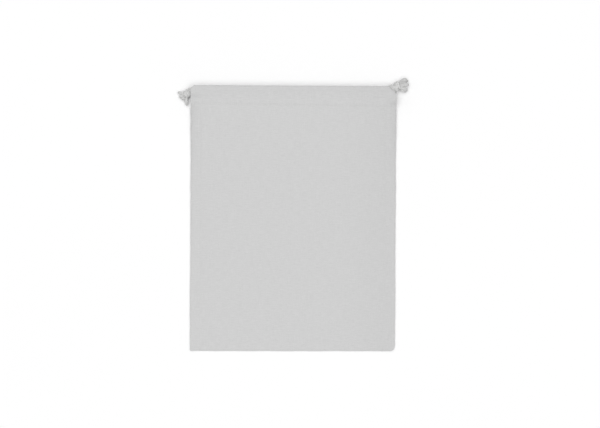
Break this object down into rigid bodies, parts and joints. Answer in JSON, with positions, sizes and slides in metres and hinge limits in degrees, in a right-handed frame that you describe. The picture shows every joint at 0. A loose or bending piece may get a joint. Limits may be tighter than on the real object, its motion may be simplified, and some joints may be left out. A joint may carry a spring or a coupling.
{
  "type": "drawstring produce bag",
  "caption": "Flat cotton drawstring bag for produce: plain-woven cloth sewn round three sides, a stitched casing at the mouth and two drawcords knotted at opposite sides.",
  "frame": {"origin": "centre of the flat back cloth that the bag lies on", "axes": "+X across the bag to its right side, +Y up the bag to its mouth, +Z off the surface that it lies on"},
  "size_m": [0.3423, 0.4051, 0.0166],
  "materials": {
    "cotton_cloth": "matte",
    "cotton_cord": "matte",
    "sewing_thread": "satin"
  },
  "bodies": {
    "bag": {"front_panel": "cotton_cloth", "back_panel": "cotton_cloth", "front_casing_stitching": "sewing_thread", "back_casing_stitching": "sewing_thread", "left_side_seam_thread": "sewing_thread", "right_side_seam_thread": "sewing_thread", "bottom_seam_thread": "sewing_thread", "left_overlock_thread": "sewing_thread", "right_overlock_thread": "sewing_thread", "bottom_overlock_thread": "sewing_thread", "left_bartack": "sewing_thread", "right_bartack": "sewing_thread"},
    "left_pull_cord": {"left_drawcord": "cotton_cord"},
    "left_knotted_end": {"left_neck_strand_front": "cotton_cord", "left_neck_strand_back": "cotton_cord", "left_knot": "cotton_cord", "left_tail_upper": "cotton_cord", "left_tail_lower": "cotton_cord"},
    "right_pull_cord": {"right_drawcord": "cotton_cord"},
    "right_knotted_end": {"right_neck_strand_front": "cotton_cord", "right_neck_strand_back": "cotton_cord", "right_knot": "cotton_cord", "right_tail_upper": "cotton_cord", "right_tail_lower": "cotton_cord"}
  },
  "joints": [
    {"name": "left_drawcord_pull", "type": "slide", "parent": "bag", "child": "left_pull_cord", "axis": [-1, 0, 0], "range_m": [0, 0.08], "deforming": ["front_panel", "back_panel", "front_casing_stitching", "back_casing_stitching", "right_side_seam_thread", "right_overlock_thread", "right_bartack"]},
    {"name": "right_drawcord_pull", "type": "slide", "parent": "bag", "child": "right_pull_cord", "axis": [1, 0, 0], "range_m": [0, 0.08], "deforming": ["left_side_seam_thread", "left_overlock_thread", "left_bartack"]},
    {"name": "left_knot_swing", "type": "hinge", "parent": "left_pull_cord", "child": "left_knotted_end", "pos_m": [-0.1491, 0.1904, 0.0057], "axis": [0, 0, 1], "range_deg": [-75, 7], "deforming": ["left_neck_strand_front", "left_neck_strand_back"]},
    {"name": "right_knot_swing", "type": "hinge", "parent": "right_pull_cord", "child": "right_knotted_end", "pos_m": [0.1445, 0.1872, 0.0057], "axis": [0, 0, 1], "range_deg": [-60, 29], "deforming": ["right_neck_strand_front", "right_neck_strand_back"]}
  ]
}
